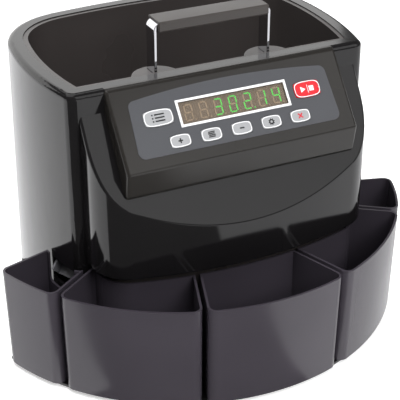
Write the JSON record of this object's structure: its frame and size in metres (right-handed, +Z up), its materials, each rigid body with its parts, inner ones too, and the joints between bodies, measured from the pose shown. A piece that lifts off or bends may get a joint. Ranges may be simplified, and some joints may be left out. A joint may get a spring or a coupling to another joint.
{
  "type": "coin sorting machine",
  "caption": "Open-top hopper with a lift-up handle over a spinning sorting disc, sloped key and display panel, and pull-out coin bins fanned round the front.",
  "frame": {"origin": "centre of the overall footprint, on the surface the machine stands on", "axes": "+X to the machine's right as seen from the keys, -Y to the front where the bins are, +Z up"},
  "size_m": [0.3904, 0.32, 0.303],
  "materials": {
    "body_plastic": "polished",
    "panel_plastic": "satin",
    "bin_plastic": "satin",
    "hopper_plastic": "satin",
    "overlay_film": "satin",
    "white_print": "satin",
    "window_smoke": "polished",
    "display_body": "matt",
    "segment_lit": "glowing",
    "segment_dark": "matt",
    "key_grey": "satin",
    "key_red": "satin",
    "strap_chrome": "polished",
    "grip_rubber": "satin",
    "foot_rubber": "matt",
    "steel": "brushed",
    "disc_steel": "brushed",
    "pad_rubber": "matt",
    "nylon": "satin",
    "bronze": "satin",
    "belt_rubber": "matt",
    "motor_metal": "satin",
    "board_green": "satin",
    "sensor_black": "matt",
    "deck_plastic": "satin",
    "switch_black": "satin"
  },
  "bodies": {
    "machine": {"base_tray": "body_plastic", "rubber_feet": "foot_rubber", "case_screws": "steel", "rear_housing": "body_plastic", "hopper_liner": "hopper_plastic", "handle_guide_left": "hopper_plastic", "handle_guide_right": "hopper_plastic", "front_housing": "body_plastic", "core_housing": "hopper_plastic", "panel_housing": "panel_plastic", "panel_overlay": "overlay_film", "display_frame": "white_print", "display_window": "window_smoke", "display_module": "display_body", "lit_segments": "segment_lit", "unlit_segments": "segment_dark", "control_board": "board_green", "sorting_deck": "deck_plastic", "sorting_ring": "nylon", "shaft_bearings": "bronze", "drive_belt": "belt_rubber", "drive_frame": "steel", "drive_motor": "motor_metal", "count_sensors": "sensor_black", "main_board": "board_green", "power_supply": "steel", "inlet_plate": "switch_black", "power_inlet": "switch_black", "switch_bezel": "switch_black", "exit_chute_1": "deck_plastic", "exit_chute_2": "deck_plastic", "exit_chute_3": "deck_plastic", "exit_chute_4": "deck_plastic", "exit_chute_5": "deck_plastic"},
    "handle": {"handle_strap": "strap_chrome", "handle_grip": "grip_rubber"},
    "disc": {"sorting_disc": "disc_steel", "disc_pad": "pad_rubber", "disc_cone": "deck_plastic", "disc_shaft": "steel", "disc_pulley": "nylon"},
    "motor_rotor": {"motor_shaft": "steel", "motor_pulley": "nylon"},
    "rocker": {"power_rocker": "switch_black"},
    "key_report_body": {"key_report": "key_grey"},
    "key_start_stop_body": {"key_start_stop": "key_red"},
    "key_plus_body": {"key_plus": "key_grey"},
    "key_batch_body": {"key_batch": "key_grey"},
    "key_minus_body": {"key_minus": "key_grey"},
    "key_set_body": {"key_set": "key_grey"},
    "key_clear_body": {"key_clear": "key_grey"},
    "bin_1": {"coin_bin_1": "bin_plastic"},
    "bin_2": {"coin_bin_2": "bin_plastic"},
    "bin_3": {"coin_bin_3": "bin_plastic"},
    "bin_4": {"coin_bin_4": "bin_plastic"},
    "bin_5": {"coin_bin_5": "bin_plastic"}
  },
  "joints": [
    {"name": "handle_lift", "type": "slide", "parent": "machine", "child": "handle", "axis": [0, 0, 1], "range_m": [-0.03, 0]},
    {"name": "bin_1_pull", "type": "slide", "parent": "machine", "child": "bin_1", "axis": [-0.8988, -0.4384, 0], "range_m": [0, 0.09]},
    {"name": "bin_2_pull", "type": "slide", "parent": "machine", "child": "bin_2", "axis": [-0.5969, -0.8023, 0], "range_m": [0, 0.09]},
    {"name": "bin_3_pull", "type": "slide", "parent": "machine", "child": "bin_3", "axis": [0, -1, 0], "range_m": [0, 0.09]},
    {"name": "bin_4_pull", "type": "slide", "parent": "machine", "child": "bin_4", "axis": [0.5969, -0.8023, 0], "range_m": [0, 0.09]},
    {"name": "bin_5_pull", "type": "slide", "parent": "machine", "child": "bin_5", "axis": [0.8988, -0.4384, 0], "range_m": [0, 0.09]},
    {"name": "report_press", "type": "slide", "parent": "machine", "child": "key_report_body", "axis": [0, 0.7815, -0.6239], "range_m": [0, 0.0006], "stiffness_N_per_m": 1500, "springref_m": -0.0003},
    {"name": "start_stop_press", "type": "slide", "parent": "machine", "child": "key_start_stop_body", "axis": [0, 0.7815, -0.6239], "range_m": [0, 0.0006], "stiffness_N_per_m": 1500, "springref_m": -0.0003},
    {"name": "plus_press", "type": "slide", "parent": "machine", "child": "key_plus_body", "axis": [0, 0.7815, -0.6239], "range_m": [0, 0.0006], "stiffness_N_per_m": 1500, "springref_m": -0.0003},
    {"name": "batch_press", "type": "slide", "parent": "machine", "child": "key_batch_body", "axis": [0, 0.7815, -0.6239], "range_m": [0, 0.0006], "stiffness_N_per_m": 1500, "springref_m": -0.0003},
    {"name": "minus_press", "type": "slide", "parent": "machine", "child": "key_minus_body", "axis": [0, 0.7815, -0.6239], "range_m": [0, 0.0006], "stiffness_N_per_m": 1500, "springref_m": -0.0003},
    {"name": "set_press", "type": "slide", "parent": "machine", "child": "key_set_body", "axis": [0, 0.7815, -0.6239], "range_m": [0, 0.0006], "stiffness_N_per_m": 1500, "springref_m": -0.0003},
    {"name": "clear_press", "type": "slide", "parent": "machine", "child": "key_clear_body", "axis": [0, 0.7815, -0.6239], "range_m": [0, 0.0006], "stiffness_N_per_m": 1500, "springref_m": -0.0003},
    {"name": "disc_spin", "type": "hinge", "parent": "machine", "child": "disc", "pos_m": [0, 0.0465, 0.139], "axis": [0, 0, 1], "continuous": true},
    {"name": "motor_spin", "type": "hinge", "parent": "machine", "child": "motor_rotor", "pos_m": [0.062, 0.0885, 0.109], "axis": [0, 0, 1], "continuous": true},
    {"name": "rocker_tilt", "type": "hinge", "parent": "machine", "child": "rocker", "pos_m": [0.02, 0.14976, 0.043], "axis": [1, 0, 0], "range_deg": [-16, 0]}
  ],
  "couplings": [
    {"joint": "motor_spin", "follows": "disc_spin", "ratio": 3}
  ]
}
